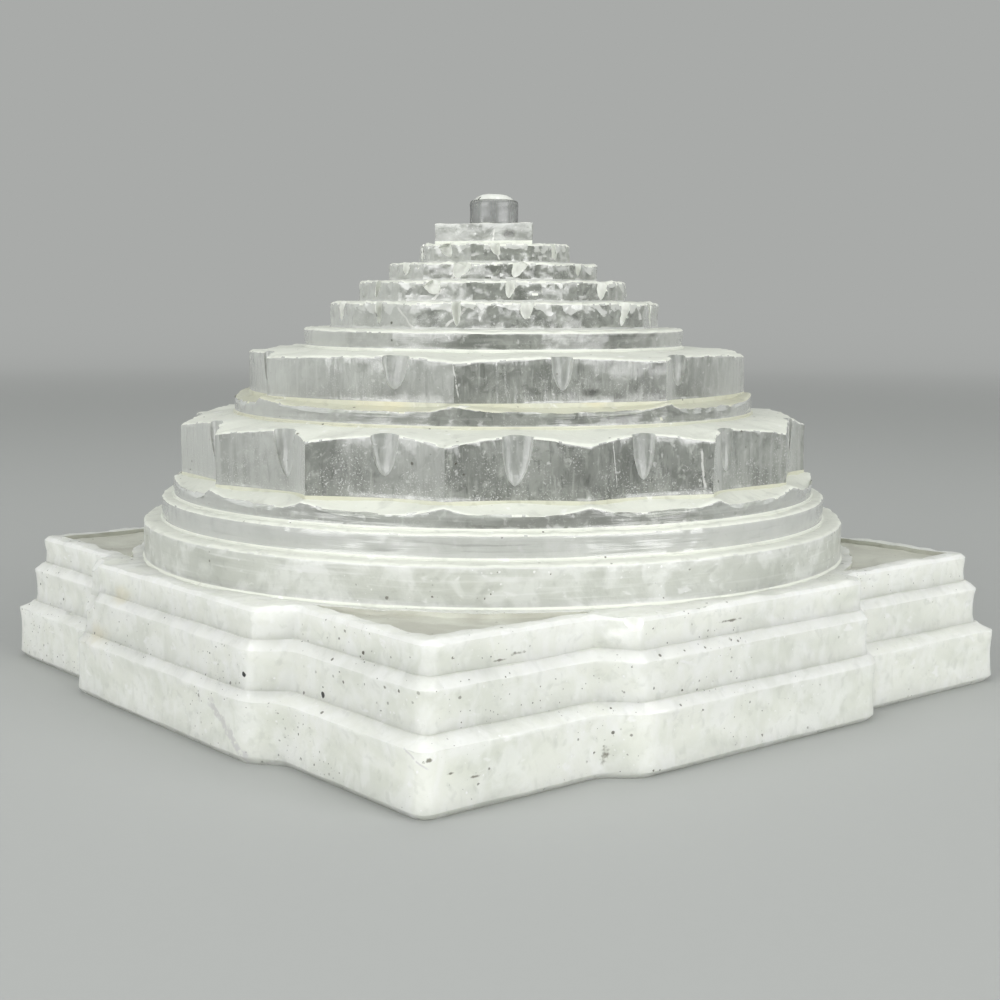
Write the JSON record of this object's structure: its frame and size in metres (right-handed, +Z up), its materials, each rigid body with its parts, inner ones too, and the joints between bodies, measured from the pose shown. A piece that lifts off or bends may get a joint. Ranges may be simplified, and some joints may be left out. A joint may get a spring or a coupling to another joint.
{
  "type": "shri yantra",
  "caption": "Stepped rock-crystal shri yantra: a gated square plinth, plain rings, lotus and star tiers, a triangle and a bindu; it stands on its flat base.",
  "frame": {"origin": "middle of the plinth's flat underside", "axes": "+Z up through the bindu; the plinth's sides lie along X and Y, and a corner of the triangle points towards -Y"},
  "size_m": [0.0808, 0.0808, 0.0509],
  "materials": {
    "milky_crystal": "milky rock crystal, satin, with fine dark specks",
    "cloudy_crystal": "cloudy rock crystal, satin walls and frosted ledges",
    "clear_crystal": "clearer grey rock crystal, polished walls and frosted ledges"
  },
  "bodies": {
    "root": {"plinth_lower_step": "milky_crystal", "plinth_middle_step": "milky_crystal", "plinth_upper_step": "milky_crystal", "lower_ring": "milky_crystal", "middle_ring": "cloudy_crystal", "upper_ring": "cloudy_crystal", "sixteen_petal_lotus": "clear_crystal", "outer_disc": "clear_crystal", "eight_petal_lotus": "clear_crystal", "inner_disc": "clear_crystal", "fourteen_point_tier": "clear_crystal", "outer_ten_point_tier": "clear_crystal", "inner_ten_point_tier": "clear_crystal", "eight_point_tier": "clear_crystal", "triangle_tier": "clear_crystal", "bindu": "clear_crystal"}
  },
  "joints": []
}
